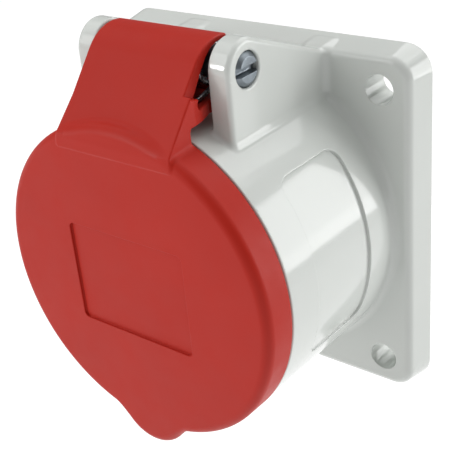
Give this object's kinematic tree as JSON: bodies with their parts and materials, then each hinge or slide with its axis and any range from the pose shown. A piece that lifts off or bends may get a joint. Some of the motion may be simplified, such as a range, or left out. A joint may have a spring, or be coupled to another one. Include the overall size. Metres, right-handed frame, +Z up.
{
  "type": "industrial panel socket",
  "caption": "Square-flanged panel-mounting industrial power socket outlet with a round barrel, a sprung hinged lid over recessed contacts, and screw terminals behind.",
  "frame": {"origin": "centre of the square flange, on the plane of its back where it meets the panel", "axes": "+X to the right seen from the front, +Z up towards the hinge, -Y out of the panel towards the user"},
  "size_m": [0.075, 0.0667, 0.083],
  "materials": {
    "housing_plastic": "light grey moulded plastic, satin gloss",
    "lid_plastic": "red moulded plastic with a fine matt grain",
    "gasket_rubber": "soft black rubber",
    "seal_rubber": "black rubber",
    "pin_steel": "zinc-plated blue-grey steel",
    "spring_steel": "drawn stainless spring wire",
    "carrier_plastic": "black glass-filled plastic",
    "terminal_plastic": "dark grey glass-filled plastic",
    "contact_brass": "plain turned brass",
    "screw_steel": "bright zinc plate"
  },
  "bodies": {
    "socket": {"housing": "housing_plastic", "flange_gasket": "gasket_rubber", "hinge_pin": "pin_steel", "hinge_springs": "spring_steel", "contact_carrier": "carrier_plastic", "carrier_plate": "carrier_plastic", "carrier_seal": "gasket_rubber", "carrier_screws": "screw_steel", "terminal_housing": "terminal_plastic", "terminal_housing_screw": "screw_steel", "contact_earth": "contact_brass", "contact_l1": "contact_brass", "contact_l2": "contact_brass", "contact_l3": "contact_brass", "contact_n": "contact_brass", "clamp_ring_earth": "spring_steel", "clamp_ring_l1": "spring_steel", "clamp_ring_l2": "spring_steel", "clamp_ring_l3": "spring_steel", "clamp_ring_n": "spring_steel", "terminal_screw_earth": "screw_steel", "terminal_screw_l1": "screw_steel", "terminal_screw_l2": "screw_steel", "terminal_screw_l3": "screw_steel", "terminal_screw_n": "screw_steel"},
    "lid": {"lid": "lid_plastic", "lid_seal": "seal_rubber"}
  },
  "joints": [
    {"name": "lid_hinge", "type": "hinge", "parent": "socket", "child": "lid", "pos_m": [0, -0.0305, 0.0399], "axis": [-1, 0, 0], "range_deg": [0, 110], "stiffness_Nm_per_rad": 0.02, "springref_deg": -68.75, "deforming": ["hinge_springs"]}
  ]
}
